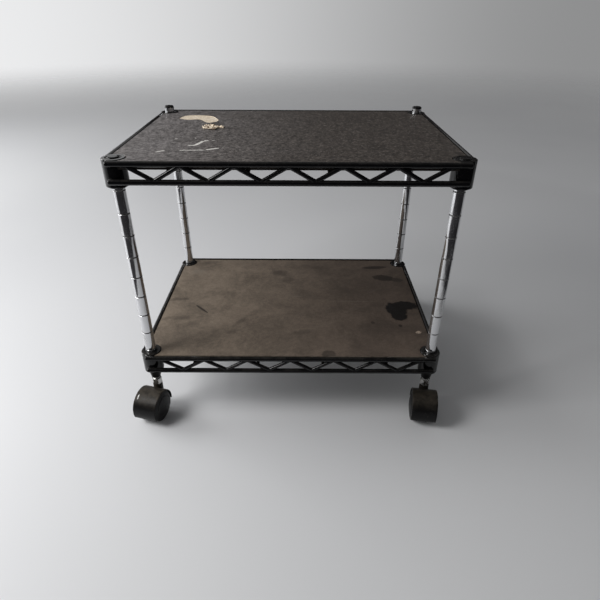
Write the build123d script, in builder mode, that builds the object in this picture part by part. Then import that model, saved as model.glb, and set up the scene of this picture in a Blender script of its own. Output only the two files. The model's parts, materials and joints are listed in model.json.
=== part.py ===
from build123d import *
from math import cos, radians, sin, sqrt
import os

# Mobile printer stand: two framed shelves on four grooved posts, rolling on four twin-wheel casters.
# Millimetres. +X right, +Y to the back, +Z up, origin on the floor under the middle of the stand.

# Layout
post_spacing_x = 350.5
post_spacing_y = 240.8
upper_top = 335.0  # top of the upper shelf's frame
lower_top = 95.0

# Posts: 1/2 in tube with a groove every inch
post_radius = 6.35
post_wall = 1.0
post_bottom = 64.9
front_post_top = 333.5
rear_post_top = 340.5
groove_pitch = 25.4
first_groove = 73.3
groove_depth = 0.5
groove_wire_radius = 0.9

# Shelf frame
collar_radius = 12.0
collar_height = 28.5
collar_chamfer = 0.6
rail_radius = 3.0
rail_drop = 18.2  # between the centres of a rail's two wires
rail_end_round = 1.2
long_rail_overrun = 4.0  # past the post axes, at each end
short_rail_inset = 7.2  # short of the post axes, at each end
weld = 0.75  # how far one welded wire sinks into the next
truss_radius = 2.25
truss_bend = 3.0
truss_tuck = 1.5  # from a rail wire's centre to the centre of the bend welded to it
truss_half_pitch = 26.7
long_half_bays = 6
short_half_bays = 4
short_truss_inset = 1.0  # from the end of a short rail
cross_radius = 2.25

# Board
board_thickness = 9.0
board_sink = 0.5  # board face below the frame's top
board_gap = 0.5
board_edge = 0.6

# Split sleeves between post and collar
sleeve_clearance = 0.05
sleeve_top_radius = 8.4
sleeve_bottom_radius = 9.4
sleeve_foot_radius = 8.65
sleeve_split = 1.2
sleeve_overhang = 1.5  # below the collar
sleeve_top_drop = 0.4  # below the collar's top
ridge_radius = 0.6
ridge_margin = 3.0  # no ridge nearer than this to a sleeve's ends

# Caps, foot plugs
cap_height = 2.5
cap_round = 2.0
cap_stem_length = 9.0
cap_stem_wall = 1.5
plug_bottom = 54.0
plug_bottom_radius = 5.9
plug_top_radius = 8.0
plug_spigot_length = 22.0

# Casters
wheel_radius = 20.0
wheel_room = 0.4
caster_trail = 19.0
hood_radius = 22.0
hood_wall = 1.4
hood_width = 31.5
hood_rim_round = 0.9
hood_back_lip = 20.0  # degrees below level, behind the axle
hood_front_lip = 8.0  # degrees below level, under the stem
web_width = 10.0
web_drop = 12.0  # below the axle
neck_radius = 6.0
neck_bottom = 20.0
neck_top = 42.0
swivel_gap = 0.3
pin_radius = 3.5
pin_bottom = 22.0
pin_chamfer = 0.8
socket_bottom = 21.0
running_clearance = 0.05
hex_flats = 11.0
hex_height = 8.0
stud_radius = 4.0
stud_top = 84.0
stud_chamfer = 1.0
axle_radius = 2.5
axle_length = 27.0
axle_chamfer = 0.4
axle_end_gap = 0.5
wheel_inner_face = 5.5  # from the middle of the caster
wheel_outer_face = 14.6
dome_rise = 3.2
tread_round = 1.4
recess_depth = 3.0
recess_inner_radius = 7.5
recess_outer_radius = 15.5
recess_draft = 1.0
ring_groove_radius = 14.5
ring_groove_depth = 0.6

post_x = post_spacing_x / 2
post_y = post_spacing_y / 2
corners = {
    "front_left": (-post_x, -post_y),
    "front_right": (post_x, -post_y),
    "rear_left": (-post_x, post_y),
    "rear_right": (post_x, post_y),
}
shelves = {"upper": upper_top, "lower": lower_top}
# How far each caster is swung round from trailing straight out to the front.
headings = {"front_left": -14.7, "front_right": -8.6, "rear_left": 171.4, "rear_right": 165.3}

# Long rails pass outside the collars; short rails run between them.
long_rail_y = post_y + collar_radius + rail_radius - weld
short_rail_x = post_x + collar_radius - rail_radius
long_rail_length = 2 * (post_x + long_rail_overrun)
short_rail_length = 2 * (post_y - short_rail_inset)

os.makedirs("parts", exist_ok=True)


def save(piece, name):
    piece.part.label = name
    export_step(piece.part, f"parts/{name}.step")


# --- Shelf frames ---------------------------------------------------------------------------


def make_collars(shelf, top):
    """Four corner tubes with a bore that tapers to grip the sleeves."""
    with BuildPart() as collars:
        with BuildSketch(Plane.XY.offset(top - collar_height)):
            with Locations(*corners.values()):
                Circle(collar_radius)
        extrude(amount=collar_height)
        chamfer(collars.edges().filter_by(GeomType.CIRCLE), length=collar_chamfer)
        with Locations(*[(x, y, top - collar_height / 2) for x, y in corners.values()]):
            Cone(sleeve_bottom_radius, sleeve_top_radius, collar_height, mode=Mode.SUBTRACT)
    save(collars, f"{shelf}_collars")


def make_rail_wires(shelf, top, side, plane, length):
    """The two straight wires of one rail, one above the other, with rounded ends."""
    with BuildPart() as wires:
        with BuildSketch(plane.offset(-length / 2)):
            with Locations((0, top - rail_radius), (0, top - rail_radius - rail_drop)):
                Circle(rail_radius)
        extrude(amount=length)
        ends = wires.edges().filter_by(GeomType.CIRCLE)
        fillet(ends, radius=rail_end_round)
    save(wires, f"{shelf}_{side}_rail_wires")


def truss_heights(top):
    """Heights of a truss's upper and lower bends."""
    upper_wire = top - rail_radius
    return upper_wire - truss_tuck, upper_wire - rail_drop + truss_tuck


def make_truss(shelf, top, side, plane, half_bays, half_pitch):
    """The zigzag wire welded between a rail's two wires."""
    high, low = truss_heights(top)
    points = [
        (step * half_pitch, high if step % 2 == half_bays % 2 else low)
        for step in range(-half_bays, half_bays + 1)
    ]
    with BuildPart() as truss:
        with BuildLine(plane) as route:
            FilletPolyline(*points, radius=truss_bend)
        start = Plane(origin=route.line @ 0, z_dir=route.line % 0)
        with BuildSketch(start):
            Circle(truss_radius)
        sweep(path=route.line)
    save(truss, f"{shelf}_{side}_truss")


def make_cross_wires(shelf, top):
    """Straight wires from the front truss to the rear truss, which carry the board."""
    height = top - board_sink - board_thickness - cross_radius
    high, low = truss_heights(top)
    # Each wire is welded where a truss leg passes its height.
    past_bend = truss_half_pitch * (high - height) / (high - low)
    inner = 2 * truss_half_pitch - past_bend
    outer = 4 * truss_half_pitch + past_bend
    with BuildPart() as wires:
        with BuildSketch(Plane.XZ.offset(-long_rail_y)):
            with Locations(*[(x, height) for x in (-outer, -inner, inner, outer)]):
                Circle(cross_radius)
        extrude(amount=2 * long_rail_y)
    save(wires, f"{shelf}_cross_wires")


def make_board(shelf, top):
    """Flat board inside the frame, cut round at the corners to clear the collars."""
    board_x = 2 * (short_rail_x - rail_radius - board_gap)
    board_y = 2 * (long_rail_y - rail_radius - board_gap)
    with BuildPart() as board:
        with BuildSketch(Plane.XY.offset(top - board_sink - board_thickness)):
            Rectangle(board_x, board_y)
            with Locations(*corners.values()):
                Circle(collar_radius + board_gap, mode=Mode.SUBTRACT)
        extrude(amount=board_thickness)
        chamfer(board.faces().sort_by(Axis.Z)[-1].edges(), length=board_edge)
    save(board, f"{shelf}_board")


def make_sleeves(shelf, top):
    """Tapered plastic sleeves in two halves; an inner ridge sits in a post groove."""
    bottom = top - collar_height - sleeve_overhang
    height = top - bottom
    inner_radius = post_radius + sleeve_clearance
    ridges = [z for z in groove_heights(top) if bottom + ridge_margin < z < top - ridge_margin]
    with BuildPart() as sleeves:
        for x, y in corners.values():
            with BuildSketch(Plane(origin=(x, y, 0), x_dir=(1, 0, 0), z_dir=(0, -1, 0))):
                with BuildLine():
                    Polyline(
                        (inner_radius, bottom),
                        (sleeve_foot_radius, bottom),
                        (sleeve_bottom_radius - sleeve_clearance, bottom + sleeve_overhang),
                        (sleeve_top_radius - sleeve_clearance, top - sleeve_top_drop),
                        (inner_radius, top - sleeve_top_drop),
                        close=True,
                    )
                make_face()
            revolve(axis=Axis((x, y, 0), (0, 0, 1)))
        with Locations(*[(x, y, z) for x, y in corners.values() for z in ridges]):
            Torus(post_radius + groove_wire_radius - groove_depth, ridge_radius)
        with Locations(*[(x, y, bottom + height / 2) for x, y in corners.values()]):
            Box(2 * collar_radius, sleeve_split, 2 * height, mode=Mode.SUBTRACT)
    save(sleeves, f"{shelf}_sleeves")


# --- Posts ----------------------------------------------------------------------------------


def groove_heights(top):
    """Heights of the grooves, an inch apart, up to the top of a post."""
    count = int((top - first_groove) // groove_pitch) + 1
    return [first_groove + groove_pitch * index for index in range(count)]


def make_post(corner, x, y):
    """Steel tube with a shallow round groove every inch."""
    top = front_post_top if y < 0 else rear_post_top
    with BuildPart() as post:
        with BuildSketch(Plane.XY.offset(post_bottom)):
            with Locations((x, y)):
                Circle(post_radius)
                Circle(post_radius - post_wall, mode=Mode.SUBTRACT)
        extrude(amount=top - post_bottom)
        with Locations(*[(x, y, z) for z in groove_heights(top)]):
            Torus(
                post_radius + groove_wire_radius - groove_depth,
                groove_wire_radius,
                mode=Mode.SUBTRACT,
            )
    save(post, f"post_{corner}")


def make_cap(corner, x, y):
    """Domed plastic cap pushed into the top of a post."""
    top = front_post_top if y < 0 else rear_post_top
    stem_radius = post_radius - post_wall
    with BuildPart() as cap:
        with BuildSketch(Plane.XY.offset(top)):
            with Locations((x, y)):
                Circle(post_radius)
        extrude(amount=cap_height)
        fillet(cap.faces().sort_by(Axis.Z)[-1].edges(), radius=cap_round)
        with BuildSketch(Plane.XY.offset(top - cap_stem_length)):
            with Locations((x, y)):
                Circle(stem_radius)
                Circle(stem_radius - cap_stem_wall, mode=Mode.SUBTRACT)
        extrude(amount=cap_stem_length)
    save(cap, f"post_cap_{corner}")


def make_foot_plugs():
    """Threaded plugs in the bottom of the posts, with a tapered head below the lower shelf."""
    head_height = post_bottom - plug_bottom
    with BuildPart() as plugs:
        with Locations(*[(x, y, plug_bottom + head_height / 2) for x, y in corners.values()]):
            Cone(plug_bottom_radius, plug_top_radius, head_height)
        with BuildSketch(Plane.XY.offset(post_bottom)):
            with Locations(*corners.values()):
                Circle(post_radius - post_wall)
        extrude(amount=plug_spigot_length)
        with BuildSketch(Plane.XY.offset(plug_bottom)):
            with Locations(*corners.values()):
                Circle(stud_radius)
        extrude(amount=head_height + plug_spigot_length, mode=Mode.SUBTRACT)
    save(plugs, "foot_plugs")


# --- Casters --------------------------------------------------------------------------------


class CasterFrame:
    """Directions and planes of one caster, swung round its swivel axis."""

    def __init__(self, x, y, heading):
        turn = radians(heading)
        self.pivot = Vector(x, y, 0)
        self.across = Vector(cos(turn), sin(turn), 0)
        self.forward = Vector(-sin(turn), cos(turn), 0)
        self.hub = self.pivot - self.forward * caster_trail + Vector(0, 0, wheel_radius)
        # Square to the axle, with its x towards the stem and its y up.
        self.side = Plane(origin=self.hub, x_dir=self.forward, z_dir=self.across)
        # Through the axle, with its x along it and its y up.
        self.front = Plane(origin=self.hub, x_dir=self.across, z_dir=-self.forward)
        self.axle = Axis(self.hub, self.across)


def polar(radius, angle):
    return (radius * cos(radians(angle)), radius * sin(radians(angle)))


def make_stem(corner, x, y):
    """Threaded stem with a hexagon base; its plain pin carries the swivelling hood."""
    hex_bottom = neck_top + swivel_gap
    with BuildPart() as stem:
        with BuildSketch(Plane.XY.offset(pin_bottom)):
            with Locations((x, y)):
                Circle(pin_radius)
        extrude(amount=hex_bottom - pin_bottom)
        chamfer(stem.faces().sort_by(Axis.Z)[0].edges(), length=pin_chamfer)
        with BuildSketch(Plane.XY.offset(hex_bottom)):
            with Locations((x, y)):
                RegularPolygon(hex_flats / 2, 6, major_radius=False)
        extrude(amount=hex_height)
        with BuildSketch(Plane.XY.offset(hex_bottom + hex_height)):
            with Locations((x, y)):
                Circle(stud_radius)
        extrude(amount=stud_top - hex_bottom - hex_height)
        chamfer(stem.faces().sort_by(Axis.Z)[-1].edges(), length=stud_chamfer)
    save(stem, f"caster_stem_{corner}")


def make_hood(corner, frame):
    """Hood over both wheels, with a middle web that holds the axle and the stem socket."""
    inner_radius = hood_radius - hood_wall
    reach = 3 * hood_radius
    with BuildPart() as hood:
        # Curved cover
        with BuildSketch(frame.side):
            Circle(hood_radius)
            Circle(inner_radius, mode=Mode.SUBTRACT)
            with BuildLine():
                Polyline(
                    (0, 0),
                    polar(reach, -hood_front_lip),
                    (reach, -reach),
                    (-reach, -reach),
                    polar(reach, 180 + hood_back_lip),
                    close=True,
                )
            make_face(mode=Mode.SUBTRACT)
        extrude(amount=hood_width / 2, both=True)
        rims = hood.edges().filter_by(GeomType.CIRCLE).group_by(SortBy.RADIUS)[-1]
        fillet(rims, radius=hood_rim_round)
        # Middle web between the wheels
        with BuildSketch(frame.side):
            Circle(inner_radius + hood_wall / 2)
            with Locations((0, -hood_radius - web_drop)):
                Rectangle(2 * reach, 2 * hood_radius, mode=Mode.SUBTRACT)
        extrude(amount=web_width / 2, both=True)
        # Neck round the stem
        with BuildSketch(Plane.XY.offset(neck_bottom)):
            with Locations((frame.pivot.X, frame.pivot.Y)):
                Circle(neck_radius)
        extrude(amount=neck_top - neck_bottom)
        # Room for the wheels
        for side in (-1, 1):
            with BuildSketch(frame.side.offset(side * web_width / 2)):
                Circle(wheel_radius + wheel_room)
            extrude(amount=side * hood_width, mode=Mode.SUBTRACT)
        # Stem socket and axle hole
        with BuildSketch(Plane.XY.offset(socket_bottom)):
            with Locations((frame.pivot.X, frame.pivot.Y)):
                Circle(pin_radius + running_clearance)
        extrude(amount=neck_top, mode=Mode.SUBTRACT)
        with BuildSketch(frame.side):
            Circle(axle_radius)
        extrude(amount=web_width, both=True, mode=Mode.SUBTRACT)
    save(hood, f"caster_hood_{corner}")


def make_axle(corner, frame):
    """Plain pin pressed through the hood's web."""
    with BuildPart() as axle:
        with BuildSketch(frame.side):
            Circle(axle_radius)
        extrude(amount=axle_length / 2, both=True)
        chamfer(axle.edges().filter_by(GeomType.CIRCLE), length=axle_chamfer)
    save(axle, f"caster_axle_{corner}")


def make_wheel(corner, frame, hand, side):
    """One wheel with a domed outer face; side is -1 or 1 along the axle."""
    bore_radius = axle_radius + running_clearance
    bore_end = axle_length / 2 + axle_end_gap
    recess_floor = wheel_inner_face + recess_depth
    dome_top = wheel_outer_face + dome_rise
    dome_radius = (wheel_radius**2 + dome_rise**2) / (2 * dome_rise)
    half_way = wheel_radius / 2
    dome_middle = dome_top - dome_radius + sqrt(dome_radius**2 - half_way**2)
    with BuildPart() as wheel:
        with BuildSketch(frame.front):
            with BuildLine():
                Polyline(
                    (side * dome_top, 0),
                    (side * bore_end, 0),
                    (side * bore_end, bore_radius),
                    (side * wheel_inner_face, bore_radius),
                    (side * wheel_inner_face, recess_inner_radius - recess_draft),
                    (side * recess_floor, recess_inner_radius),
                    (side * recess_floor, recess_outer_radius),
                    (side * wheel_inner_face, recess_outer_radius + recess_draft),
                    (side * wheel_inner_face, wheel_radius),
                    (side * wheel_outer_face, wheel_radius),
                )
                ThreePointArc(
                    (side * wheel_outer_face, wheel_radius),
                    (side * dome_middle, half_way),
                    (side * dome_top, 0),
                )
            make_face()
        revolve(axis=frame.axle)
        rims = wheel.edges().filter_by(GeomType.CIRCLE)
        fillet(rims.filter_by(lambda rim: abs(rim.radius - wheel_radius) < 0.01), radius=tread_round)
        # Ring groove round the domed face
        with BuildSketch(frame.front):
            ring_height = dome_top - dome_radius + sqrt(dome_radius**2 - ring_groove_radius**2)
            with Locations((side * ring_height, ring_groove_radius)):
                Circle(ring_groove_depth)
        revolve(axis=frame.axle, mode=Mode.SUBTRACT)
    save(wheel, f"caster_wheel_{corner}_{hand}")


# --- Build everything -----------------------------------------------------------------------

for shelf, top in shelves.items():
    make_collars(shelf, top)
    for side, sign in (("front", -1), ("rear", 1)):
        across = Plane(origin=(0, sign * long_rail_y, 0), x_dir=(0, 1, 0), z_dir=(1, 0, 0))
        make_rail_wires(shelf, top, side, across, long_rail_length)
        upright = Plane(origin=(0, sign * long_rail_y, 0), x_dir=(1, 0, 0), z_dir=(0, -1, 0))
        make_truss(shelf, top, side, upright, long_half_bays, truss_half_pitch)
    for side, sign in (("left", -1), ("right", 1)):
        across = Plane(origin=(sign * short_rail_x, 0, 0), x_dir=(-1, 0, 0), z_dir=(0, 1, 0))
        make_rail_wires(shelf, top, side, across, short_rail_length)
        upright = Plane(origin=(sign * short_rail_x, 0, 0), x_dir=(0, 1, 0), z_dir=(1, 0, 0))
        short_half_pitch = (short_rail_length / 2 - short_truss_inset) / short_half_bays
        make_truss(shelf, top, side, upright, short_half_bays, short_half_pitch)
    make_cross_wires(shelf, top)
    make_board(shelf, top)
    make_sleeves(shelf, top)

make_foot_plugs()
for corner, (x, y) in corners.items():
    make_post(corner, x, y)
    make_cap(corner, x, y)
    make_stem(corner, x, y)
    frame = CasterFrame(x, y, headings[corner])
    make_hood(corner, frame)
    make_axle(corner, frame)
    make_wheel(corner, frame, "left", -1)
    make_wheel(corner, frame, "right", 1)
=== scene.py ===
"""Looks of the mobile printer stand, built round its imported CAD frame. Metres, +X right, +Y back, +Z up."""
import json
import math
import random

import bmesh
import bpy
from mathutils import Matrix, Vector, noise
from mathutils.geometry import delaunay_2d_cdt


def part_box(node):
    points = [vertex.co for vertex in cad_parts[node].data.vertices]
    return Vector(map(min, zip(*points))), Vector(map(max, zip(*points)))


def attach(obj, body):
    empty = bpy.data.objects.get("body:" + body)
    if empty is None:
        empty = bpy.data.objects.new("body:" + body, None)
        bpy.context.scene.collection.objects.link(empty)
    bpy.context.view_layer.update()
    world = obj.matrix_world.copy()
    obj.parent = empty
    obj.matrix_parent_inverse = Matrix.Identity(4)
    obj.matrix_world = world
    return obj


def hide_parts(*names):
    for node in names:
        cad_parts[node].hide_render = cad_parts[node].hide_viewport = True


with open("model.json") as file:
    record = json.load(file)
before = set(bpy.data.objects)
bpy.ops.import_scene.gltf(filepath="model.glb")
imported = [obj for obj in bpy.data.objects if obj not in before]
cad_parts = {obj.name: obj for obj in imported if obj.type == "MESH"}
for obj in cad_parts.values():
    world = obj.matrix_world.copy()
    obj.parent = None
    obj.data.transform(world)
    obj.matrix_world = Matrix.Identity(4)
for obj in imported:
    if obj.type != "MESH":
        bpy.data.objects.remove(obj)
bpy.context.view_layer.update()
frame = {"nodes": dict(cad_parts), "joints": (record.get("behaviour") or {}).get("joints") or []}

MM = 0.001
CORNERS = ("front_right", "rear_right", "rear_left", "front_left")  # anticlockwise
SHELVES = ("upper", "lower")
nodes = frame["nodes"]
chance = random.Random(4)
noise.seed_set(4)  # noise_vector would otherwise take its offsets from the clock

# Sizes taken over from the CAD part, in millimetres
GROOVE_PITCH = 25.4
FIRST_GROOVE = 73.3
COLLAR_RADIUS = 12.0
BITE_RADIUS = 12.5  # of the round cut-out in a board's corner
RAIL_RADIUS = 3.0
TRUSS_RADIUS = 2.25
STUD_RADIUS = 4.0
HEXAGON_TOP = 50.3
# Heights of the boards' faces, in whole millimetres
UPPER_FACE = 334
LOWER_FACE = 94


# --- Shader graphs --------------------------------------------------------------------------


class Graph:
    """A material being made, with short calls for the nodes that it uses. Sizes are in millimetres."""

    def __init__(self, name):
        self.material = bpy.data.materials.new(name)
        self.material.use_nodes = True
        self.tree = self.material.node_tree
        self.tree.nodes.clear()
        self.shader = self.add("BsdfPrincipled")
        output = self.add("OutputMaterial")
        self.tree.links.new(self.shader.outputs[0], output.inputs["Surface"])
        coordinates = self.add("TexCoord")
        scale = self.add("VectorMath", operation="SCALE")
        self.feed(scale.inputs[0], coordinates.outputs["Object"])
        self.feed(scale.inputs["Scale"], 1 / MM)
        self.place = scale.outputs[0]
        self.facing = coordinates.outputs["Normal"]
        self.upward = self.step(self.part(self.facing, 2), 0.3, 0.95)

    def add(self, kind, **settings):
        """A new shader node of that kind."""
        node = self.tree.nodes.new("ShaderNode" + kind)
        for name, value in settings.items():
            setattr(node, name, value)
        return node

    def feed(self, socket, value):
        """Links value if it is a socket, or sets it as the socket's constant."""
        if isinstance(value, bpy.types.NodeSocket):
            self.tree.links.new(value, socket)
        elif socket.type == "RGBA" and len(value) == 3:
            socket.default_value = (*value, 1.0)
        else:
            socket.default_value = value

    def set(self, **inputs):
        """Feeds the shader's sockets, named with underscores, and gives the material."""
        for name, value in inputs.items():
            self.feed(self.shader.inputs[name.replace("_", " ")], value)
        return self.material

    def math(self, operation, a, b=0.0):
        node = self.add("Math", operation=operation)
        self.feed(node.inputs[0], a)
        self.feed(node.inputs[1], b)
        return node.outputs[0]

    def times(self, a, b):
        return self.math("MULTIPLY", a, b)

    def most(self, *masks):
        """The strongest of several masks at each point."""
        result = masks[0]
        for mask in masks[1:]:
            result = self.math("MAXIMUM", result, mask)
        return result

    def moved(self, location, turn, size):
        """The place as seen from a spot that is moved, turned by degrees round Z, and scaled."""
        node = self.add("Mapping", vector_type="TEXTURE")
        self.feed(node.inputs["Vector"], self.place)
        self.feed(node.inputs["Location"], location)
        self.feed(node.inputs["Rotation"], (0, 0, math.radians(turn)))
        self.feed(node.inputs["Scale"], size)
        return node.outputs[0]

    def noise(self, size, detail=3.0, roughness=0.5, distortion=0.0, stretch=(1, 1, 1), turn=0.0):
        """Fractal noise from 0 to 1, in lumps of about that size, stretched along each axis."""
        node = self.add("TexNoise")
        self.feed(node.inputs["Vector"], self.moved((size * 3, -size, size), turn, stretch))
        self.feed(node.inputs["Scale"], 1.0 / size)
        self.feed(node.inputs["Detail"], detail)
        self.feed(node.inputs["Roughness"], roughness)
        self.feed(node.inputs["Distortion"], distortion)
        return node.outputs[0]

    def cells(self, size):
        """Distance from the middles of cells of about that size, smooth where cells meet."""
        node = self.add("TexVoronoi", feature="SMOOTH_F1")
        self.feed(node.inputs["Vector"], self.place)
        self.feed(node.inputs["Scale"], 1.0 / size)
        return node.outputs["Distance"]

    def step(self, value, start, end, low=0.0, high=1.0):
        """Smoothly from low, where value is start, to high, where it is end."""
        node = self.add("MapRange", interpolation_type="SMOOTHSTEP")
        for name, number in (("Value", value), ("From Min", start), ("From Max", end)):
            self.feed(node.inputs[name], number)
        self.feed(node.inputs["To Min"], low)
        self.feed(node.inputs["To Max"], high)
        return node.outputs[0]

    def mix(self, factor, a, b):
        """Colour a where factor is 0, and colour b where it is 1."""
        node = self.add("Mix", data_type="RGBA")
        first_colour, second_colour, mixed_colour = 6, 7, 2  # places of the colour sockets
        self.feed(node.inputs["Factor"], factor)
        self.feed(node.inputs[first_colour], a)
        self.feed(node.inputs[second_colour], b)
        return node.outputs[mixed_colour]

    def part(self, vector, axis):
        """One of a vector's three numbers."""
        node = self.add("SeparateXYZ")
        self.feed(node.inputs[0], vector)
        return node.outputs[axis]

    def along(self, vector, direction):
        """How far vector points along direction, either way."""
        node = self.add("VectorMath", operation="DOT_PRODUCT")
        self.feed(node.inputs[0], vector)
        self.feed(node.inputs[1], direction)
        return self.math("ABSOLUTE", node.outputs["Value"])

    def blots(self, spots, grain, soft=0.35, ragged=0.7):
        """A mask of ragged ellipses (x, y, z, half_x, half_y, turn, strength), 0 outside them all."""
        wobble = self.step(self.noise(grain, detail=5.0, roughness=0.6), 0.3, 0.7, 0.0, ragged)
        edge = 1.0 + ragged / 2
        half_z = 30.0
        masks = []
        for x, y, z, half_x, half_y, turn, strength in spots:
            reach = self.add("VectorMath", operation="LENGTH")
            self.feed(reach.inputs[0], self.moved((x, y, z), turn, (half_x, half_y, half_z)))
            total = self.math("ADD", reach.outputs["Value"], wobble)
            masks.append(self.step(total, edge + soft, edge - soft, 0.0, strength))
        return self.most(*masks)

    def pale_edge_patches(self):
        """Strong on the eased edges of a level face, in patches, and 0 on the face."""
        # Paler colour in patches along the eased edges, where the face turns down to the edge.
        tilted = self.step(self.part(self.facing, 2), 0.97, 0.80)
        return self.times(tilted, self.step(self.noise(9.0, detail=4.0), 0.35, 0.6, 0.15, 0.9))

    def bump(self, height, depth, normal=None):
        """A normal for relief that is depth millimetres deep where height goes from 0 to 1."""
        node = self.add("Bump")
        self.feed(node.inputs["Strength"], 1.0)
        self.feed(node.inputs["Distance"], depth * MM)
        self.feed(node.inputs["Height"], height)
        if normal is not None:
            self.feed(node.inputs["Normal"], normal)
        return node.outputs[0]


# --- Materials ------------------------------------------------------------------------------

DUST = (0.17, 0.155, 0.135)
DARK_PAPER = (0.020, 0.017, 0.015)
BLACK_PLASTIC = (0.0045, 0.0045, 0.0048)
BLACK_CAP = (0.0035, 0.0035, 0.0038)


def frame_black():
    """Glossy black powder coat: orange peel, settled dust, handling scuffs and a few chips."""
    g = Graph("frame_black")
    patches = g.noise(14.0, detail=4.0, roughness=0.6)
    film = g.times(g.upward, g.step(patches, 0.35, 0.7, 0.02, 0.11))
    grit = g.step(g.noise(0.9, detail=2.0), 0.68, 0.74)
    specks = g.times(grit, g.step(patches, 0.4, 0.6, 0.05, 0.4))
    scuffs = g.times(
        g.step(g.noise(3.2, detail=6.0, roughness=0.7, stretch=(2.5, 1, 1)), 0.60, 0.72),
        g.step(g.noise(26.0), 0.5, 0.62),
    )
    dust = g.most(film, specks)
    colour = g.mix(dust, (0.0032, 0.0032, 0.0036), DUST)
    colour = g.mix(g.times(scuffs, 0.3), colour, (0.10, 0.10, 0.098))
    rough = g.step(patches, 0.3, 0.7, 0.06, 0.12)
    rough = g.most(rough, g.times(g.most(dust, scuffs), 0.75))
    peel = g.bump(g.noise(1.3, detail=1.5), 0.03)
    peel = g.bump(g.noise(0.25, detail=1.0), 0.006, peel)
    return g.set(Base_Color=colour, Roughness=rough, Specular_IOR_Level=0.34, Normal=peel)


def post_chrome():
    """Bright chrome with hazy smears, fine wear lines and dirt packed in the grooves."""
    g = Graph("post_chrome")
    height = g.math("ADD", g.part(g.place, 2), GROOVE_PITCH / 2 - FIRST_GROOVE)
    in_pitch = g.math("FLOORED_MODULO", height, GROOVE_PITCH)
    from_groove = g.math("ABSOLUTE", g.math("SUBTRACT", in_pitch, GROOVE_PITCH / 2))
    ragged = g.math("ADD", from_groove, g.step(g.noise(1.6, detail=3.0), 0.3, 0.7, 0.0, 0.7))
    grime = g.step(ragged, 1.25, 0.55)
    haze = g.step(g.noise(9.0, detail=4.0, stretch=(1, 1, 3.5)), 0.42, 0.75)
    lines = g.step(g.noise(0.7, detail=3.0, stretch=(1, 1, 26)), 0.55, 0.75)
    flecks = g.step(g.noise(1.1, detail=4.0, roughness=0.7), 0.68, 0.76)
    colour = g.mix(g.times(haze, 0.45), (0.66, 0.665, 0.68), (0.47, 0.465, 0.45))
    colour = g.mix(g.times(flecks, 0.6), colour, (0.22, 0.19, 0.15))
    colour = g.mix(grime, colour, (0.045, 0.041, 0.036))
    rough = g.most(g.step(haze, 0.0, 1.0, 0.07, 0.30), g.times(lines, 0.22), g.times(grime, 0.62))
    dull = g.most(g.times(grime, 0.85), g.times(flecks, 0.7), g.times(haze, 0.12))
    metal = g.math("SUBTRACT", 1.0, dull)
    relief = g.bump(lines, 0.004)
    relief = g.bump(g.noise(22.0, detail=1.0), 0.12, relief)
    return g.set(Base_Color=colour, Roughness=rough, Metallic=metal, Normal=relief)


def board_grain(g):
    """The dark face paper's pebble mask, and its relief: pebbles, faint fibres and broad waves."""
    pebble = g.step(g.cells(0.95), 0.1, 0.75)
    fibre = g.noise(0.8, detail=3.0, stretch=(7, 1, 1), turn=20.0)
    relief = g.bump(pebble, 0.07)
    relief = g.bump(fibre, 0.03, relief)
    return pebble, g.bump(g.noise(40.0, detail=2.0), 0.5, relief)


def upper_board_face():
    """Dark brown-black face with pale specks, painted paler and greyer towards the left as painted light from
    the window there, as well as rubbing and dust.
    """
    g = Graph("upper_board_face")
    pebble, relief = board_grain(g)
    wear = g.noise(55.0, detail=6.0, roughness=0.65)
    mottle = g.noise(4.6, detail=5.0, roughness=0.75, stretch=(1.3, 1, 1))
    flecks = g.noise(2.3, detail=4.0, roughness=0.72, stretch=(1.3, 1.6, 1))
    # Painted light: across makes the face paler and greyer towards the left, where the window light falls, on
    # top of the dust and rubbing there.
    across = g.step(g.math("ADD", g.part(g.place, 0), g.times(wear, 60.0)), -200.0, 90.0)
    colour = g.mix(across, (0.265, 0.248, 0.248), (0.082, 0.068, 0.059))
    colour = g.mix(g.step(wear, 0.35, 0.7, 0.0, 0.25), colour, (0.110, 0.095, 0.083))
    colour = g.mix(g.step(mottle, 0.54, 0.42, 0.0, 0.62), colour, DARK_PAPER)
    colour = g.mix(g.step(flecks, 0.50, 0.34, 0.0, 0.60), colour, DARK_PAPER)
    # The pale specks are also painted brighter towards the left, as painted light.
    pale = g.mix(across, (0.50, 0.465, 0.455), (0.380, 0.335, 0.300))
    pale_share = g.step(across, 0.0, 1.0, 0.55, 0.42)
    colour = g.mix(g.step(flecks, 0.50, 0.70, 0.0, pale_share), colour, pale)
    colour = g.mix(g.pale_edge_patches(), colour, (0.17, 0.15, 0.13))
    colour = g.mix(g.times(pebble, 0.25), colour, DARK_PAPER)
    trace = g.blots(
        [
            (-164, 97, UPPER_FACE, 12, 1.4, 160, 0.8),
            (-100, 46, UPPER_FACE, 9, 5, 20, 0.5),
            (-92, 38, UPPER_FACE, 5, 9, 0, 0.4),
        ],
        grain=4.0,
    )
    colour = g.mix(trace, colour, DARK_PAPER)
    specks = g.step(g.noise(1.25, detail=1.0), 0.765, 0.80)
    colour = g.mix(g.times(specks, 0.75), colour, (0.42, 0.39, 0.34))
    rough = g.step(g.math("ADD", mottle, flecks), 0.7, 1.3, 0.46, 0.62)
    return g.set(Base_Color=colour, Roughness=rough, Specular_IOR_Level=0.16, Normal=relief)


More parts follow.
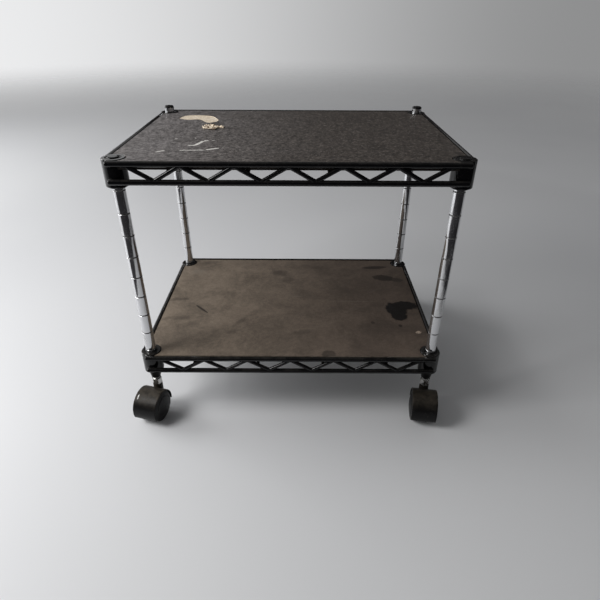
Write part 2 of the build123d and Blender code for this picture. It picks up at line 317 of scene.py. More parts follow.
def lower_board_face():
    """The same face under brown dust, painted paler towards the left as painted light from the window, with
    dark stains where liquid dried.
    """
    g = Graph("lower_board_face")
    pebble, relief = board_grain(g)
    dusting = g.noise(42.0, detail=7.0, roughness=0.66, distortion=0.6)
    mottle = g.noise(4.4, detail=6.0, roughness=0.75)
    streak = g.noise(9.0, detail=5.0, roughness=0.65, stretch=(5, 1, 1), turn=38.0)
    # Painted light: the dust colour runs from paler on the left, where the window light falls, to darker
    # brown on the right.
    across = g.step(g.math("ADD", g.part(g.place, 0), g.times(dusting, 70.0)), -190.0, 200.0)
    dust = g.mix(across, (0.280, 0.226, 0.174), (0.132, 0.100, 0.079))
    cover = g.step(dusting, 0.30, 0.70, 0.55, 0.95)
    amount = g.math("ADD", cover, g.step(mottle, 0.35, 0.65, -0.15, 0.09))
    colour = g.mix(amount, (0.030, 0.024, 0.020), dust)
    colour = g.mix(g.times(pebble, 0.22), colour, (0.024, 0.019, 0.016))
    colour = g.mix(g.step(streak, 0.56, 0.76, 0.0, 0.22), colour, (0.170, 0.142, 0.114))
    z = LOWER_FACE
    smudges = g.blots(
        [
            (-146, 117, z, 16, 6, 15, 0.5),
            (-155, 60, z, 20, 26, 0, 0.25),
            (-168, 2, z, 13, 3.5, 4, 0.6),
            (-152, -48, z, 24, 4, 4, 0.45),
            (-134, -62, z, 20, 8, 25, 0.40),
            (-146, -95, z, 40, 22, 0, 0.35),
            (-72, -58, z, 13, 3, 55, 0.45),
            (-79, -80, z, 9, 3, 20, 0.4),
            (-102, 20, z, 22, 9, -20, 0.3),
            (12, -82, z, 14, 5, 10, 0.4),
            (-22, 84, z, 15, 9, -30, 0.7),
            (-8, 62, z, 12, 8, -20, 0.55),
            (20, 105, z, 26, 7, 0, 0.35),
            (85, -108, z, 10, 14, 0, 0.35),
            (95, 30, z, 40, 18, 10, 0.3),
            (130, -70, z, 30, 14, 0, 0.3),
        ],
        soft=0.7,
        ragged=0.9,
        grain=12.0,
    )
    colour = g.mix(g.times(smudges, 0.75), colour, (0.032, 0.026, 0.023))
    stains = g.blots(
        [
            (149, -23, z, 15, 19, 8, 1.0),
            (163, -12, z, 19, 11, -4, 1.0),
            (150, -40, z, 11, 11, 30, 1.0),
            (144, 70, z, 17, 9, -12, 0.7),
            (162, 64, z, 12, 6, -12, 0.5),
            (134, 105, z, 19, 5, 4, 0.7),
            (48, -127, z, 9, 7, 0, 0.5),
            (-129, -24, z, 15, 1.7, -46, 0.8),
            (111, -57, z, 2.6, 3, 0, 0.5),
            (148, -64, z, 2.6, 3, 0, 0.7),
        ],
        soft=0.14,
        ragged=0.22,
        grain=6.0,
    )
    colour = g.mix(g.times(stains, 0.94), colour, (0.0090, 0.0082, 0.0082))
    traces = g.blots(
        [
            (-156, 88, z, 12, 9, 0, 0.4),
            (5, 12, z, 12, 1.5, 0, 0.25),
            (84, -2, z, 30, 1.2, 0, 0.2),
        ],
        soft=0.5,
        ragged=1.0,
        grain=5.0,
    )
    colour = g.mix(traces, colour, (0.200, 0.170, 0.140))
    colour = g.mix(g.pale_edge_patches(), colour, (0.21, 0.175, 0.14))
    rough = g.step(amount, 0.0, 1.0, 0.50, 0.85)
    rough = g.math("SUBTRACT", rough, g.times(stains, 0.2))
    return g.set(Base_Color=colour, Roughness=rough, Specular_IOR_Level=0.14, Normal=relief)


def bare_fibre(name, shade, dark, light, pale):
    """Torn fibreboard: felted fibres with browner tufts; shade is how much the dark ones show."""
    g = Graph(name)
    tufts = g.noise(1.5, detail=6.0, roughness=0.7, distortion=0.5, stretch=(2.0, 1, 1), turn=-25.0)
    broad = g.noise(16.0, detail=3.0)
    clumps = g.noise(3.4, detail=5.0, roughness=0.7)
    colour = g.mix(g.step(tufts, 0.25, 0.6), dark, light)
    colour = g.mix(g.step(broad, 0.45, 0.7, 0.0, 0.5), colour, pale)
    colour = g.mix(g.times(g.step(clumps, 0.48, 0.42), shade), colour, dark)
    relief = g.bump(tufts, 0.25)
    return g.set(Base_Color=colour, Roughness=0.86, Normal=relief)


def board_edge():
    """Sawn edge and underside: fibreboard stained nearly black, browner where it has rubbed."""
    g = Graph("board_edge")
    layers = g.noise(0.8, detail=4.0, stretch=(20, 20, 1))
    fibre = g.noise(1.2, detail=5.0, roughness=0.7)
    colour = g.mix(g.step(layers, 0.3, 0.7), (0.010, 0.008, 0.007), (0.022, 0.016, 0.012))
    colour = g.mix(g.step(fibre, 0.5, 0.8, 0.0, 0.5), colour, (0.060, 0.043, 0.030))
    relief = g.bump(fibre, 0.12)
    return g.set(Base_Color=colour, Roughness=0.82, Specular_IOR_Level=0.25, Normal=relief)


def pale_scratch():
    """Whitened scrape marks in the face paper."""
    g = Graph("pale_scratch")
    grain = g.noise(0.6, detail=4.0, roughness=0.7, stretch=(4, 1, 1))
    colour = g.mix(g.step(grain, 0.35, 0.65), (0.45, 0.43, 0.40), (0.95, 0.93, 0.88))
    return g.set(Base_Color=colour, Roughness=0.8, Normal=g.bump(grain, 0.08))


def moulded(name, dark, rough, dust_amount, shine):
    """Black moulded plastic with a fine spark-eroded grain and some dust."""
    g = Graph(name)
    patches = g.noise(8.0, detail=5.0, roughness=0.65)
    scratches = g.step(g.noise(0.8, detail=3.0, stretch=(14, 1, 1), turn=30.0), 0.60, 0.72)
    dust = g.times(g.step(g.upward, 0.0, 1.0, 0.25, 1.0), g.step(patches, 0.3, 0.7, 0.15, 1.0))
    dust = g.times(dust, dust_amount)
    colour = g.mix(dust, dark, DUST)
    colour = g.mix(g.times(scratches, 0.10), colour, (0.2, 0.19, 0.18))
    finish = g.most(g.step(patches, 0.3, 0.7, rough - 0.06, rough + 0.06), g.times(dust, 0.9))
    relief = g.bump(g.noise(0.6, detail=2.0), 0.025)
    return g.set(Base_Color=colour, Roughness=finish, Specular_IOR_Level=shine, Normal=relief)


def caster_hood():
    """Black nylon under a brown dust film on top, made stronger on the left casters as painted light from the
    left, with scrapes and a painted white highlight on the front left caster.
    """
    g = Graph("caster_hood")
    patches = g.noise(7.0, detail=6.0, roughness=0.65, distortion=0.4)
    fine = g.noise(1.4, detail=5.0, roughness=0.7)
    height = g.part(g.place, 2)
    # Painted light: share makes the dust film stronger on the left casters, standing in for the brighter
    # light from the left.
    share = g.step(g.part(g.place, 0), -120.0, 120.0, 1.0, 0.8)
    settled = g.times(g.step(height, 28.0, 41.0), g.step(patches, 0.30, 0.66, 0.30, 1.0))
    film = g.math("ADD", g.times(settled, 0.46), g.step(fine, 0.52, 0.80, 0.0, 0.03))
    film = g.times(film, share)
    colour = g.mix(film, (0.0045, 0.0043, 0.0046), (0.110, 0.091, 0.068))
    scrapes = g.times(
        g.step(g.noise(0.7, detail=3.0, stretch=(1, 1, 12)), 0.62, 0.72),
        g.step(g.noise(12.0), 0.5, 0.65),
    )
    colour = g.mix(g.times(scrapes, 0.30), colour, (0.25, 0.23, 0.21))
    # Painted highlight: a small white glint on the left end of the front left caster's hood.
    painted_glint = g.blots([(-193.8, -146, 38, 3.0, 0.6, 75.3, 1.0)], soft=0.2, ragged=0.3, grain=2.0)
    colour = g.mix(painted_glint, colour, (0.88, 0.87, 0.84))
    rough = g.step(film, 0.0, 0.6, 0.34, 0.62)
    relief = g.bump(g.noise(0.5, detail=2.0), 0.02)
    relief = g.bump(fine, 0.02, relief)
    return g.set(Base_Color=colour, Roughness=rough, Specular_IOR_Level=0.20, Normal=relief)


def caster_wheel(name, axle):
    """Black nylon wheel: satin domed face, and a tread scuffed grey with grit in it."""
    g = Graph(name)
    tread = g.step(g.along(g.facing, axle), 0.6, 0.25)
    patches = g.noise(6.0, detail=6.0, roughness=0.65)
    grit = g.step(g.noise(0.7, detail=4.0, roughness=0.75), 0.56, 0.70)
    worn = g.times(tread, g.math("ADD", g.step(patches, 0.3, 0.7, 0.15, 0.50), g.times(grit, 0.3)))
    smears = g.step(patches, 0.45, 0.8, 0.0, 0.06)
    colour = g.mix(g.most(worn, smears), (0.0040, 0.0039, 0.0042), (0.090, 0.082, 0.074))
    rough = g.step(g.math("ADD", worn, g.times(patches, 0.4)), 0.1, 0.8, 0.36, 0.72)
    relief = g.bump(g.noise(0.45, detail=2.0), 0.02)
    relief = g.bump(g.times(tread, grit), 0.09, relief)
    return g.set(Base_Color=colour, Roughness=rough, Specular_IOR_Level=0.26, Normal=relief)


def bright_zinc(name, tint):
    """Bright plated steel, faintly brushed, with dull oxide blooms."""
    g = Graph(name)
    bloom = g.step(g.noise(3.5, detail=5.0, roughness=0.6), 0.45, 0.72)
    turned = g.noise(0.35, detail=2.0, stretch=(12, 12, 1))
    colour = g.mix(g.times(bloom, 0.6), tint, (0.30, 0.28, 0.25))
    rough = g.most(g.step(turned, 0.3, 0.7, 0.16, 0.30), g.times(bloom, 0.5))
    metal = g.math("SUBTRACT", 1.0, g.times(bloom, 0.35))
    return g.set(Base_Color=colour, Roughness=rough, Metallic=metal, Normal=g.bump(turned, 0.012))


def dress(node, material):
    """Gives a CAD node its material."""
    node.data.materials.clear()
    node.data.materials.append(material)
    for face in node.data.polygons:
        face.material_index = 0


BLACK = frame_black()
CHROME = post_chrome()
EDGE = board_edge()
FIBRE = bare_fibre("bare_fibre", 0.35, (0.56, 0.425, 0.295), (0.88, 0.765, 0.605), (0.94, 0.85, 0.72))
TORN = bare_fibre("torn_fibre", 1.0, (0.20, 0.12, 0.065), (0.96, 0.83, 0.65), (0.98, 0.90, 0.77))
OLD_FIBRE = bare_fibre("old_fibre", 0.8, (0.16, 0.13, 0.105), (0.46, 0.36, 0.28), (0.48, 0.38, 0.29))
SCRATCH = pale_scratch()
HOOD = caster_hood()
ZINC = bright_zinc("stem_zinc", (0.72, 0.715, 0.70))
FINISHES = {
    "sleeve_plastic": moulded("sleeve_plastic", BLACK_PLASTIC, 0.34, 0.10, 0.16),
    "plug_plastic": moulded("plug_plastic", BLACK_PLASTIC, 0.36, 0.12, 0.16),
    "cap_plastic": moulded("cap_plastic", BLACK_CAP, 0.14, 0.04, 0.14),
    "axle_steel": bright_zinc("axle_steel", (0.52, 0.52, 0.53)),
}
AXLES = {
    joint["child"]: joint["axis"] for joint in frame["joints"] if joint["name"].startswith("spin")
}

for name, node in nodes.items():
    if "sleeves" in name:
        dress(node, FINISHES["sleeve_plastic"])
    elif "plugs" in name:
        dress(node, FINISHES["plug_plastic"])
    elif "cap" in name:
        dress(node, FINISHES["cap_plastic"])
    elif "axle" in name:
        dress(node, FINISHES["axle_steel"])
    elif "stem" in name:
        dress(node, ZINC)
    elif "hood" in name:
        dress(node, HOOD)
    elif "wheel" in name:
        body = name.replace("caster_wheel", "wheel")
        dress(node, caster_wheel(name, AXLES[body]))
    elif name.startswith("post"):
        dress(node, CHROME)
    else:
        dress(node, BLACK)


# --- Mesh helpers ---------------------------------------------------------------------------


def middle(node):
    """The middle of a CAD node's box."""
    low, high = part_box(node)
    return (low + high) / 2


def piece(name, mesh, materials, body, smooth=True):
    """A finished mesh as a piece that rides on a CAD body."""
    obj = bpy.data.objects.new(name, mesh)
    bpy.context.scene.collection.objects.link(obj)
    for material in materials:
        mesh.materials.append(material)
    for face in mesh.polygons:
        face.use_smooth = smooth
    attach(obj, body)
    return obj


def to_mesh(name, work):
    """Ends the work on a bmesh and gives it as a mesh, with its faces turned outwards."""
    bmesh.ops.recalc_face_normals(work, faces=work.faces)
    mesh = bpy.data.meshes.new(name)
    work.to_mesh(mesh)
    work.free()
    return mesh


def smooth_loop(points, steps):
    """A closed smooth curve through points (Catmull-Rom), with steps points for each span."""
    count = len(points)
    curve = []
    for i in range(count):
        p0, p1, p2, p3 = (Vector(points[(i + k - 1) % count]) for k in range(4))
        for k in range(steps):
            t = k / steps
            curve.append(
                0.5 * (2 * p1 + (p2 - p0) * t + (2 * p0 - 5 * p1 + 4 * p2 - p3) * t * t
                       + (3 * p1 - p0 - 3 * p2 + p3) * t * t * t)
            )
    return curve


def ragged_loop(curve, amount, size, seed):
    """curve with its points pushed about by noise, for a torn edge."""
    moved = []
    for p in curve:
        push = noise.noise_vector(Vector((p.x / size, p.y / size, seed)))
        moved.append(p + Vector((push.x, push.y)) * amount)
    return moved


def shrunk(loop, distance):
    """An anticlockwise loop moved inwards."""
    count = len(loop)
    result = []
    for i in range(count):
        along = loop[(i + 1) % count] - loop[i - 1]
        along.normalize()
        result.append(loop[i] + Vector((-along.y, along.x)) * distance)
    return result


def anticlockwise(loop):
    """loop, turned round if it runs clockwise."""
    area = sum(a.x * b.y - b.x * a.y for a, b in zip(loop, loop[1:] + loop[:1]))
    return loop if area > 0 else loop[::-1]


def holds(loop, p):
    """Whether point p is inside loop."""
    inside = False
    for a, b in zip(loop, loop[1:] + loop[:1]):
        if (a.y > p.y) != (b.y > p.y) and p.x < a.x + (p.y - a.y) * (b.x - a.x) / (b.y - a.y):
            inside = not inside
    return inside


def lattice(loop, pitch, jitter):
    """Points on a jittered grid inside loop."""
    low_x, high_x = min(p.x for p in loop), max(p.x for p in loop)
    low_y, high_y = min(p.y for p in loop), max(p.y for p in loop)
    points = []
    for i in range(1, int((high_x - low_x) / pitch)):
        for j in range(1, int((high_y - low_y) / pitch)):
            p = Vector((low_x + i * pitch, low_y + j * pitch))
            p += Vector((chance.uniform(-jitter, jitter), chance.uniform(-jitter, jitter)))
            if holds(loop, p):
                points.append(p)
    return points


def triangulate(loops, loose):
    """Triangles inside the first loop that keep every loop's edges: (points, triangles)."""
    points, edges = [], []
    for loop in loops:
        start = len(points)
        points += loop
        edges += [(start + i, start + (i + 1) % len(loop)) for i in range(len(loop))]
    inside_only, merge_within = 1, 1e-9
    out = delaunay_2d_cdt(points + loose, edges, [], inside_only, merge_within)
    return out[0], out[2]


# --- Boards ---------------------------------------------------------------------------------


BITE_STEPS = 28
EDGE_STEPS = 40


def bitten_outline(low, high, inset):
    """A board's outline, anticlockwise: a rectangle bitten round at each post."""
    radius = BITE_RADIUS * MM + inset
    points = []
    for corner in CORNERS:
        post = middle(f"post_{corner}")
        edge_x = high.x - inset if post.x > 0 else low.x + inset
        edge_y = high.y - inset if post.y > 0 else low.y + inset
        dx, dy = edge_x - post.x, edge_y - post.y
        on_x_edge = math.atan2(-math.copysign(math.sqrt(radius**2 - dx**2), post.y), dx)
        on_y_edge = math.atan2(dy, -math.copysign(math.sqrt(radius**2 - dy**2), post.x))
        first_on_y = post.x * post.y < 0
        start, end = (on_y_edge, on_x_edge) if first_on_y else (on_x_edge, on_y_edge)
        sweep = (start - end) % (2 * math.pi)
        for k in range(BITE_STEPS + 1):
            angle = start - sweep * k / BITE_STEPS
            points.append(Vector((post.x + radius * math.cos(angle), post.y + radius * math.sin(angle))))
        points += straight_to_next(points[-1], corner, inset)
    return points


def straight_to_next(start, corner, inset):
    """Points along the straight edge that follows a corner, up to the next corner's bite."""
    following = CORNERS[(CORNERS.index(corner) + 1) % 4]
    post = middle(f"post_{following}")
    radius = BITE_RADIUS * MM + inset
    if corner in ("front_right", "rear_left"):
        dx = start.x - post.x
        end = Vector((start.x, post.y - math.copysign(math.sqrt(radius**2 - dx**2), post.y)))
    else:
        dy = start.y - post.y
        end = Vector((post.x - math.copysign(math.sqrt(radius**2 - dy**2), post.x), start.y))
    return [start.lerp(end, k / EDGE_STEPS) for k in range(1, EDGE_STEPS)]


def wavy(p, top):
    """Height of the face at p: never quite flat."""
    return top - 0.06 * MM * (1 + noise.noise(Vector((p.x * 14, p.y * 14, top * 7))))


def spot_key(p):
    """Where p is, rounded, so that a vertex of the outline is found again."""
    return round(p.x, 7), round(p.y, 7)


def make_board(shelf, face, fibre, torn):
    """A board with eased edges; torn lists (outline, depth) where the face paper has come away to fibre."""
    low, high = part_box(f"{shelf}_board")
    paper, edge, bare = 0, 1, 2  # places in the panel's list of materials
    levels = [  # (inset in millimetres, height), from the underside to the face
        (0.5, low.z),
        (0.1, low.z + 0.3 * MM),
        (0.05, high.z - 1.7 * MM),
        (0.0, high.z - 1.5 * MM),
        (0.10, high.z - 0.5 * MM),
        (0.40, high.z - 0.08 * MM),
    ]
    work = bmesh.new()
    rings = []
    for inset, z in levels:
        outline = bitten_outline(low, high, inset * MM)
        rings.append([work.verts.new((p.x, p.y, z)) for p in outline])
    face_from = 3  # the level from which the face paper wraps the eased edge
    for index, (below, above) in enumerate(zip(rings, rings[1:])):
        for i in range(len(below)):
            j = (i + 1) % len(below)
            side = work.faces.new((below[i], below[j], above[j], above[i]))
            side.material_index = paper if index >= face_from else edge
    loops = [[Vector((v.co.x, v.co.y)) for v in rings[-1]]]
    loose = lattice(shrunk(loops[0], 1.5 * MM), 5 * MM, 1.2 * MM)
    floors = []
    for outline, depth in torn:
        floor = shrunk(outline, 0.18 * MM)
        loops += [outline, floor]
        floors.append((floor, depth))
        keep_out = shrunk(outline, -1.0 * MM)
        loose = [p for p in loose if not holds(keep_out, p)]
    for floor, depth in floors:
        loose += lattice(shrunk(floor, 0.3 * MM), 0.8 * MM, 0.25 * MM)
    points, triangles = triangulate(loops, loose)
    rim = {spot_key(v.co): v for v in rings[-1]}
    grown = [(shrunk(floor, -0.02 * MM), depth) for floor, depth in floors]
    top = []
    for p in points:
        z = wavy(p, high.z)
        for floor, depth in grown:
            if holds(floor, p):
                lumps = noise.fractal(Vector((p.x * 700, p.y * 700, 1.5)), 1.0, 2.0, 4)
                z -= depth * MM * (1 + 0.35 * lumps)
        top.append(rim.get(spot_key(p)) or work.verts.new((p.x, p.y, z)))
    for triangle in triangles:
        corners = [top[i] for i in triangle]
        if len(set(corners)) < 3:
            continue
        new = work.faces.new(corners)
        centre = sum((v.co.xy for v in corners), Vector((0, 0))) / 3
        new.material_index = bare if any(holds(outline, centre) for outline, depth in torn) else paper
    work.faces.new(rings[0][::-1]).material_index = edge
    mesh = to_mesh(f"{shelf}_board_panel", work)
    panel = piece(f"{shelf}_board_panel", mesh, [face, EDGE, fibre], "stand", smooth=False)
    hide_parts(f"{shelf}_board")
    return high.z


def metres(points):
    return [Vector((x * MM, y * MM)) for x, y in points]


# A large scar where the face paper peeled off, a torn tuft of fibreboard in front of it, and a chip
# in the lower board, in millimetres
PEEL = [
    (-151.7, 76.8), (-146, 93.4), (-127.3, 95.5), (-109.8, 89), (-97.5, 62),
    (-103.5, 49.8), (-111, 49.6), (-123.6, 67.8), (-137.9, 65.9), (-148.8, 72),
]
TUFT = [
    (-110.7, 16.7), (-108.4, 27.9), (-103, 32), (-96.4, 28), (-93, 22.6), (-85.4, 22.7),
    (-83.7, 13.2), (-90.7, 14.4), (-93, 6.3), (-96.7, 7.6), (-104, 8.8),
]
CHIP = [(165, -80), (169, -82), (173, -79), (169, -76)]
SCRATCHES = [  # (route, half width), in millimetres
    (
        [
            (-111, -69.5), (-107, -70.3), (-103.2, -69.3), (-100.6, -62),
            (-97.9, -52), (-94.5, -49.2), (-90.8, -49.6),
        ],
        1.9,
    ),
    ([(-87.9, -47.3), (-85.2, -47.0)], 1.8),
    ([(-116.2, -90.8), (-108, -90.2), (-101, -90.6), (-95, -89.6), (-88.8, -89.4)], 1.0),
    ([(-88.8, -89.2), (-82.9, -85.3), (-75.4, -81.2)], 1.9),
    ([(-139, -99), (-135.5, -96), (-133, -93.4), (-131, -91)], 1.3),
    ([(-131, -40.5), (-129, -39.8)], 1.8),
    ([(-109.6, -37.8), (-107.6, -37.2)], 1.8),
    ([(-72.6, -78.4), (-71.2, -77.4)], 1.2),
]


def torn_loop(points, steps, amount, size, seed):
    """A torn outline through points, pushed about by amount in lumps of size, in millimetres."""
    return anticlockwise(ragged_loop(smooth_loop(metres(points), steps), amount * MM, size * MM, seed))


peel = torn_loop(PEEL, 9, 0.5, 3, 1.0)
tuft_loop = torn_loop(TUFT, 7, 1.9, 3.2, 5.0)
pit = shrunk(tuft_loop, 0.9 * MM)
chip = torn_loop(CHIP, 6, 0.5, 2, 2.0)
upper_z = make_board("upper", upper_board_face(), FIBRE, [(peel, 0.32), (pit, 0.5)])
make_board("lower", lower_board_face(), OLD_FIBRE, [(chip, 0.3)])


def make_tuft():
    """A torn flap of fibreboard that stands up from the face, lifted along its front."""
    back = max(p.y for p in tuft_loop)
    front = min(p.y for p in tuft_loop)
    loose = lattice(shrunk(tuft_loop, 0.4 * MM), 0.7 * MM, 0.2 * MM)
    points, triangles = triangulate([tuft_loop], loose)
    work = bmesh.new()
    upper, under = [], []
    for p in points:
        forward = (back - p.y) / (back - front)
        lift = (1.5 * forward**1.5 - 0.25) * MM
        lump = noise.fractal(Vector((p.x * 230, p.y * 230, 2.0)), 0.7, 2.0, 5)
        thick = (1.1 + 1.7 * lump) * MM
        upper.append(work.verts.new((p.x, p.y, upper_z + max(lift, 0) + max(thick, 0.25 * MM))))
        under.append(work.verts.new((p.x, p.y, upper_z + lift - 0.1 * MM)))
    for triangle in triangles:
        work.faces.new([upper[i] for i in triangle])
        work.faces.new([under[i] for i in reversed(triangle)])
    place_of = {vert: i for i, vert in enumerate(upper)}
    for edge in [e for e in work.edges if len(e.link_faces) == 1 and e.verts[0] in place_of]:
        a, b = (place_of[v] for v in edge.verts)
        work.faces.new((upper[a], upper[b], under[b], under[a]))
    piece("upper_board_tuft", to_mesh("upper_board_tuft", work), [TORN], "stand", smooth=False)


def make_scratches():
    """Scraped lines: thin ragged ribs of raised paper fibre."""
    section = ((-1, 0.0), (-0.45, 0.07), (0.45, 0.07), (1, 0.0))  # (share of half width, rise)
    work = bmesh.new()
    for route, half_width in SCRATCHES:
        ends = metres(route)
        line = []
        for a, b in zip(ends, ends[1:]):
            count = max(2, int((b - a).length / (0.5 * MM)))
            line += [a.lerp(b, k / count) for k in range(count)]
        line.append(ends[-1])
        rows = []
        for i, p in enumerate(line):
            along = (line[min(i + 1, len(line) - 1)] - line[max(i - 1, 0)]).normalized()
            across = Vector((-along.y, along.x))
            taper = min(1.0, 0.25 + i / 6, 0.25 + (len(line) - 1 - i) / 6)
            wobble = noise.noise(Vector((p.x * 900, p.y * 900, 3.0)))
            half = half_width * MM * taper * (1 + 0.6 * wobble)
            row = []
            for share, rise in section:
                spot = p + across * half * share
                row.append(work.verts.new((spot.x, spot.y, wavy(spot, upper_z) + (rise + 0.01) * MM)))
            rows.append(row)
        for first, second in zip(rows, rows[1:]):
            for k in range(len(section) - 1):
                work.faces.new((first[k], first[k + 1], second[k + 1], second[k]))
    piece("upper_board_scratches", to_mesh("upper_board_scratches", work), [SCRATCH], "stand")


make_tuft()
make_scratches()


# --- Frame details --------------------------------------------------------------------------


# Half sizes of weld beads, in millimetres: along, across and out
TRUSS_BEAD = (4.2, 1.0, 0.95)
COLLAR_BEAD = (4.6, 0.9, 0.8)
END_BEAD = (3.1, 2.9, 1.1)
SEED_STEP = 1.3


def add_bead(work, place, along, size, seed):
    """A little squeezed-out weld bead, its long way lying along a direction."""
    length, width, height = size
    made = bmesh.ops.create_icosphere(work, subdivisions=3, radius=1.0)
    turn = Vector(along).normalized().to_track_quat("X", "Z").to_matrix()
    for vert in made["verts"]:
        swell = 1 + 0.22 * noise.noise(vert.co * 1.7 + Vector((seed, seed * 2, 0)))
        co = Vector((vert.co.x * length, vert.co.y * width, vert.co.z * height)) * swell * MM
        vert.co = turn @ co + place


def make_welds(shelf):
    """Beads where the trusses and collars meet the rails."""
    work = bmesh.new()
    seed = 0.0
    for side in ("front", "rear", "left", "right"):
        rail_low, rail_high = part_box(f"{shelf}_{side}_rail_wires")
        truss_low, truss_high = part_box(f"{shelf}_{side}_truss")
        long_side = side in ("front", "rear")
        axis = 0 if long_side else 1
        along = Vector((1, 0, 0)) if long_side else Vector((0, 1, 0))
        outward = (rail_low + rail_high) / 2
        outward[axis] = outward.z = 0
        outward.normalize()
        half_bays = 6 if long_side else 4
        reach = truss_high[axis] - truss_low[axis] - 2 * TRUSS_RADIUS * MM * 0.55
        for index in range(-half_bays, half_bays + 1):
            place = (rail_low + rail_high) / 2
            place[axis] += reach / 2 * index / half_bays
            at_top = index % 2 == half_bays % 2
            wire = rail_high.z - RAIL_RADIUS * MM if at_top else rail_low.z + RAIL_RADIUS * MM
            place.z = wire + (-1 if at_top else 1) * RAIL_RADIUS * MM * 0.85
            for face in (-1, 1):
                seed += SEED_STEP
                spot = place + outward * face * TRUSS_RADIUS * MM * 0.62
                add_bead(work, spot, along, TRUSS_BEAD, seed)
    for corner in CORNERS:
        post = middle(f"post_{corner}")
        for side in ("front" if post.y < 0 else "rear", "left" if post.x < 0 else "right"):
            rail_low, rail_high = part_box(f"{shelf}_{side}_rail_wires")
            for z in (rail_high.z - RAIL_RADIUS * MM, rail_low.z + RAIL_RADIUS * MM):
                if side in ("front", "rear"):
                    place = Vector((post.x, (rail_low.y + rail_high.y) / 2, z))
                    place.y += math.copysign(RAIL_RADIUS * MM * 0.8, -post.y)
                    for tilt in (-1, 1):
                        seed += SEED_STEP
                        spot = place + Vector((0, 0, tilt * 1.7 * MM))
                        add_bead(work, spot, (1, 0, 0), COLLAR_BEAD, seed)
                else:
                    seed += SEED_STEP
                    centre_x = (rail_low.x + rail_high.x) / 2
                    reach = math.sqrt((COLLAR_RADIUS * MM) ** 2 - (centre_x - post.x) ** 2)
                    place = Vector((centre_x, post.y - math.copysign(reach, post.y), z))
                    add_bead(work, place, (0, 0, 1), END_BEAD, seed)
    mesh = to_mesh(f"{shelf}_welds", work)
    piece(f"{shelf}_welds", mesh, [BLACK], "stand")


for shelf in SHELVES:
    make_welds(shelf)


THREAD_PITCH = 1.25
STEPS_PER_TURN = 48
FADE_STEPS = 12


def make_thread(corner):
    """The turns of thread that show between the caster stem's hexagon and the plug."""
    plug_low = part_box("foot_plugs")[0]
    pitch = THREAD_PITCH * MM
    start = HEXAGON_TOP * MM + 0.2 * MM
    end = plug_low.z - 0.05 * MM
    turns = (end - start - pitch) / pitch
    steps = int(turns * STEPS_PER_TURN)
    centre = middle(f"caster_stem_{corner}")
    work = bmesh.new()
    rows = []
    for k in range(steps + 1):
        angle = 2 * math.pi * turns * k / steps
        z = start + pitch / 2 + pitch * turns * k / steps
        crest = 0.55 * min(1.0, k / FADE_STEPS, (steps - k) / FADE_STEPS)
        section = ((-0.3, -0.55), (0.05, -0.5), (crest, -0.08), (crest, 0.08), (0.05, 0.5), (-0.3, 0.55))
        row = []
        for out, up in section:
            radius = (STUD_RADIUS + out) * MM
            x = centre.x + radius * math.cos(angle)
            y = centre.y + radius * math.sin(angle)
            row.append(work.verts.new((x, y, z + up * pitch)))
        rows.append(row)
    for first, second in zip(rows, rows[1:]):
        for k in range(len(first)):
            after = (k + 1) % len(first)
            work.faces.new((first[k], first[after], second[after], second[k]))
    work.faces.new(rows[0])
    work.faces.new(rows[-1][::-1])
    piece(f"caster_thread_{corner}", to_mesh(f"caster_thread_{corner}", work), [ZINC], "stand")


for corner in CORNERS:
    make_thread(corner)


# --- Floor, light, camera -------------------------------------------------------------------


FLOOR_RADIUS = 5.0  # metres
# Profiles of the two flags, from the bottom up: (radius, height) in metres
FRONT_FLAG = [(0.52, 0.002), (1.2, 0.002), (1.35, 0.05), (1.45, 0.4), (1.5, 2.0)]
REAR_FLAG = [(1.2, 0.02), (1.22, 0.25), (1.25, 0.78)]


def floor_finish():
    """A pale matt sheet that fades out far away, where the even background takes over."""
    g = Graph("floor_finish")
    cloud = g.noise(700.0, detail=2.0)
    grain = g.noise(2.0, detail=3.0)
    colour = g.mix(g.step(cloud, 0.3, 0.7), (0.76, 0.765, 0.78), (0.80, 0.805, 0.815))
    rough = g.step(grain, 0.3, 0.7, 0.50, 0.60)
    g.set(Base_Color=colour, Roughness=rough, Normal=g.bump(grain, 0.01))
    away = g.add("VectorMath", operation="LENGTH")
    g.feed(away.inputs[0], g.place)
    rim = FLOOR_RADIUS / MM
    fade = g.step(away.outputs["Value"], 0.3 * rim, 0.98 * rim)
    g.set(Alpha=g.math("SUBTRACT", 1.0, fade))
    return g.material


def flag_black(name):
    """Matt black cloth."""
    g = Graph(name)
    cloth = g.noise(3.0, detail=3.0)
    colour = g.mix(cloth, (0.020, 0.019, 0.021), (0.045, 0.040, 0.045))
    return g.set(Base_Color=colour, Roughness=0.95)


def make_floor():
    """A plain pale disc, far larger than the stand."""
    work = bmesh.new()
    spokes, rings = 64, 20
    centre = work.verts.new((0, 0, 0))
    circles = []
    for ring in range(1, rings + 1):
        radius = FLOOR_RADIUS * ring / rings
        circles.append(
            [
                work.verts.new((radius * math.cos(turn), radius * math.sin(turn), 0))
                for turn in (2 * math.pi * k / spokes for k in range(spokes))
            ]
        )
    for k in range(spokes):
        after = (k + 1) % spokes
        work.faces.new((centre, circles[0][k], circles[0][after]))
        for inner, outer in zip(circles, circles[1:]):
            work.faces.new((inner[k], outer[k], outer[after], inner[after]))
    floor = bpy.data.objects.new("floor", to_mesh("floor", work))
    floor.data.materials.append(floor_finish())
    bpy.context.scene.collection.objects.link(floor)


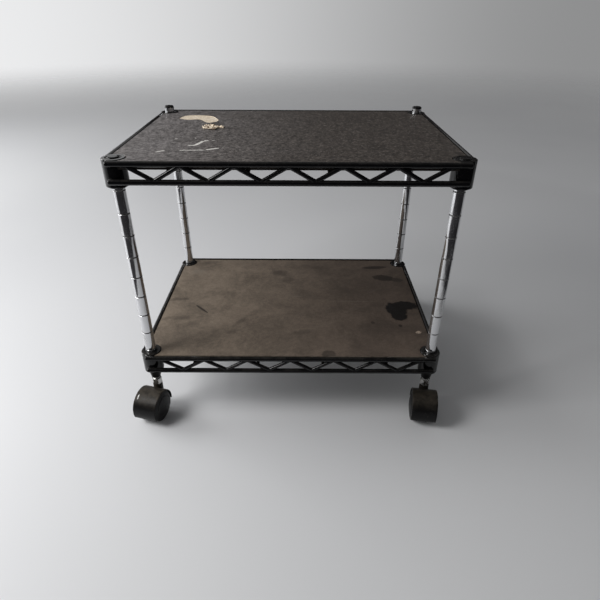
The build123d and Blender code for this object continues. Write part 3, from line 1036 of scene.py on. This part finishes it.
def make_flag(name, start, end, profile):
    """A black sheet round part of the stand, as studios hang to keep dark edges in bright metal.

    It goes from one bearing to another, in degrees, with the profile of (radius, height) points.
    Only reflections show it.
    """
    work = bmesh.new()
    columns = []
    strips = 24
    for k in range(strips + 1):
        turn = math.radians(start + (end - start) * k / strips)
        columns.append(
            [work.verts.new((radius * math.cos(turn), radius * math.sin(turn), z)) for radius, z in profile]
        )
    for first, second in zip(columns, columns[1:]):
        for k in range(len(profile) - 1):
            work.faces.new((first[k], second[k], second[k + 1], first[k + 1]))
    flag = bpy.data.objects.new(name, to_mesh(name, work))
    flag.data.materials.append(flag_black(name))
    bpy.context.scene.collection.objects.link(flag)
    flag.visible_camera = flag.visible_diffuse = flag.visible_shadow = False


def add_area(name, place, aim, size, power, colour):
    """A soft rectangular light at place that shines towards aim."""
    light = bpy.data.lights.new(name, "AREA")
    light.shape = "RECTANGLE"
    light.size, light.size_y = size
    light.energy = power
    light.color = colour
    obj = bpy.data.objects.new(name, light)
    obj.location = place
    obj.rotation_euler = (Vector(aim) - Vector(place)).to_track_quat("-Z", "Y").to_euler()
    obj.visible_camera = False
    bpy.context.scene.collection.objects.link(obj)


def make_world():
    """A pale room: bright on the left, dimmer on the right, overhead and in front."""
    world = bpy.data.worlds.new("studio")
    world.use_nodes = True
    tree = world.node_tree
    tree.nodes.clear()
    link = tree.links.new
    place = tree.nodes.new("ShaderNodeTexCoord")
    split = tree.nodes.new("ShaderNodeSeparateXYZ")
    link(place.outputs["Generated"], split.inputs[0])

    def ramp(socket, start, end, low, high):
        node = tree.nodes.new("ShaderNodeMapRange")
        node.interpolation_type = "SMOOTHSTEP"
        link(socket, node.inputs["Value"])
        for name, value in (("From Min", start), ("From Max", end), ("To Min", low), ("To Max", high)):
            node.inputs[name].default_value = value
        return node.outputs[0]

    def multiply(a, b):
        node = tree.nodes.new("ShaderNodeMath")
        node.operation = "MULTIPLY"
        link(a, node.inputs[0])
        link(b, node.inputs[1])
        return node.outputs[0]

    side = ramp(split.outputs[0], -0.65, 0.5, 0.88, 0.275)
    height = ramp(split.outputs[2], 0.12, 0.75, 1.0, 0.34)
    depth = ramp(split.outputs[1], -0.7, 0.0, 0.55, 1.0)
    background = tree.nodes.new("ShaderNodeBackground")
    background.inputs["Color"].default_value = (0.985, 0.99, 1.0, 1.0)
    link(multiply(multiply(side, height), depth), background.inputs["Strength"])
    output = tree.nodes.new("ShaderNodeOutputWorld")
    link(background.outputs[0], output.inputs["Surface"])
    bpy.context.scene.world = world


def make_camera():
    """In front of the stand and above it, as a fit to the photograph's yardstick and posts found it."""
    place = (0.01259, -0.60043, 0.46409)
    yaw, pitch, roll = (math.radians(angle) for angle in (-0.127, 31.647, 0.218))
    ahead = Vector((math.sin(yaw) * math.cos(pitch), math.cos(yaw) * math.cos(pitch), -math.sin(pitch)))
    level = Vector((math.cos(yaw), -math.sin(yaw), 0))
    right = Matrix.Rotation(-roll, 3, ahead) @ level
    up = right.cross(ahead)
    camera = bpy.data.objects.new("camera", bpy.data.cameras.new("camera"))
    camera.data.lens = 28.76
    camera.data.sensor_width = 36.0
    camera.data.shift_y = 0.0012
    camera.data.clip_start = 0.01
    turned = Matrix((right, up, -ahead)).transposed().to_4x4()
    camera.matrix_world = Matrix.Translation(place) @ turned
    bpy.context.scene.collection.objects.link(camera)
    bpy.context.scene.camera = camera


make_floor()
make_flag("front_flag", -148, -6, FRONT_FLAG)
make_flag("rear_flag", 20, 118, REAR_FLAG)
add_area(
    "window",
    place=(-0.77, -0.34, 0.76),
    aim=(0, 0, 0.1),
    size=(0.4, 0.42),
    power=5.6,
    colour=(1.0, 0.995, 0.99),
)
add_area(
    "doorway",
    place=(-1.9, 0.5, 0.8),
    aim=(-0.5, 0.4, 0),
    size=(1.2, 1.0),
    power=23.0,
    colour=(0.99, 0.995, 1.0),
)
make_world()
make_camera()
bpy.context.scene.view_settings.view_transform = "Standard"
